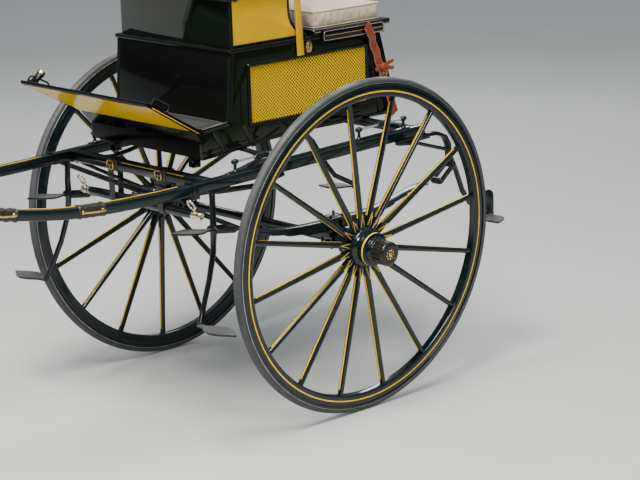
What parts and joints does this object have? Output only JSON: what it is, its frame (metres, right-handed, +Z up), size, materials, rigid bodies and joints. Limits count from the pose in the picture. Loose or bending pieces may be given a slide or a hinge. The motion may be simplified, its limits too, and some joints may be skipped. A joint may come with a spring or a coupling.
{
  "type": "tandem cart",
  "caption": "Two-wheeled sprung carriage with long shafts, a body that slides for balance, a high driver's seat and a rear-facing seat with a drop tailboard.",
  "frame": {"origin": "on the ground under the middle of the cart's length and width", "axes": "+Z up, -Y forwards towards the horse, +X towards the cart's left wheel"},
  "size_m": [1.7148, 3.7599, 2.105],
  "materials": {
    "black_coach_paint": "deep black-green coach paint, varnished, on timber panels",
    "dark_green_gear_paint": "very dark green varnished paint on ash and oak",
    "yellow_paint": "golden yellow gloss paint on timber",
    "cane_work": "woven cane, yellow with dark holes",
    "rubber_tyre": "matt dark grey solid rubber",
    "bright_steel": "bright drawn steel",
    "black_iron": "black enamelled forged iron",
    "harness_leather": "tan strap leather",
    "dark_leather": "dark brown leather",
    "cushion_cloth": "beige box cloth over a stuffed pad",
    "foot_mat": "grey ribbed mat"
  },
  "bodies": {
    "chassis": {"front_cross_bar": "dark_green_gear_paint", "rear_cross_bar": "dark_green_gear_paint", "shaft_left": "dark_green_gear_paint", "shaft_right": "dark_green_gear_paint", "spring_left": "black_iron", "spring_right": "black_iron", "front_shackle_left": "black_iron", "front_shackle_right": "black_iron", "rear_shackle_left": "black_iron", "rear_shackle_right": "black_iron", "front_step_iron_left": "black_iron", "front_step_iron_right": "black_iron", "rear_iron_left": "black_iron", "rear_iron_right": "black_iron", "slide_rail_left": "bright_steel", "slide_rail_right": "bright_steel", "hanger_strap_left": "dark_leather", "hanger_strap_right": "dark_leather"},
    "axle": {"axle": "black_iron", "spring_seat_left": "black_iron", "spring_seat_right": "black_iron"},
    "wheel_left": {"tyre_left": "rubber_tyre", "tyre_channel_left": "bright_steel", "felloe_rim_left": "dark_green_gear_paint", "spokes_and_nave_left": "dark_green_gear_paint", "axle_box_left": "bright_steel", "hub_cap_left": "black_iron"},
    "wheel_right": {"tyre_right": "rubber_tyre", "tyre_channel_right": "bright_steel", "felloe_rim_right": "dark_green_gear_paint", "spokes_and_nave_right": "dark_green_gear_paint", "axle_box_right": "bright_steel", "hub_cap_right": "black_iron"},
    "body": {"boot_floor": "black_coach_paint", "foot_well": "black_coach_paint", "front_panel": "black_coach_paint", "toe_board": "yellow_paint", "foot_mat": "foot_mat", "body_rim": "black_coach_paint", "whip_socket": "black_iron", "driver_seat_box": "black_coach_paint", "driver_cushion": "cushion_cloth", "seat_rest": "dark_leather", "rear_seat_frame": "black_coach_paint", "rear_cushion": "cushion_cloth", "side_panel_left": "black_coach_paint", "side_panel_right": "black_coach_paint", "cane_panel_left": "cane_work", "cane_panel_right": "cane_work", "tailboard_strap_left": "harness_leather", "tailboard_strap_right": "harness_leather", "slide_bearer_left": "black_iron", "slide_bearer_right": "black_iron", "seat_arm_left": "yellow_paint", "seat_arm_right": "yellow_paint"},
    "tailboard": {"tailboard": "black_coach_paint"},
    "swingle": {"swingle_bar": "dark_green_gear_paint", "trace_hook_left": "bright_steel", "trace_hook_right": "bright_steel"}
  },
  "joints": [
    {"name": "axle_travel", "type": "slide", "parent": "chassis", "child": "axle", "axis": [0, 0, 1], "range_m": [-0.015, 0.04], "stiffness_N_per_m": 100000, "springref_m": -0.012, "deforming": ["spring_left", "spring_right"]},
    {"name": "wheel_spin_left", "type": "hinge", "parent": "axle", "child": "wheel_left", "pos_m": [0.7075, 0.835, 0.72543], "axis": [0.9984, 0, -0.0569], "continuous": true},
    {"name": "wheel_spin_right", "type": "hinge", "parent": "axle", "child": "wheel_right", "pos_m": [-0.7075, 0.835, 0.72543], "axis": [0.9984, 0, 0.0569], "continuous": true},
    {"name": "body_slide", "type": "slide", "parent": "chassis", "child": "body", "axis": [0, 0.9995, 0.032], "range_m": [-0.085, 0.06]},
    {"name": "tailboard_hinge", "type": "hinge", "parent": "body", "child": "tailboard", "pos_m": [0, 1.346, 1.2], "axis": [-1, 0, 0], "range_deg": [0, 80]},
    {"name": "swingle_swing", "type": "hinge", "parent": "chassis", "child": "swingle", "pos_m": [0, 0.196, 1.07485], "axis": [1, 0, 0], "range_deg": [-20, 20], "deforming": ["hanger_strap_left", "hanger_strap_right"]}
  ]
}
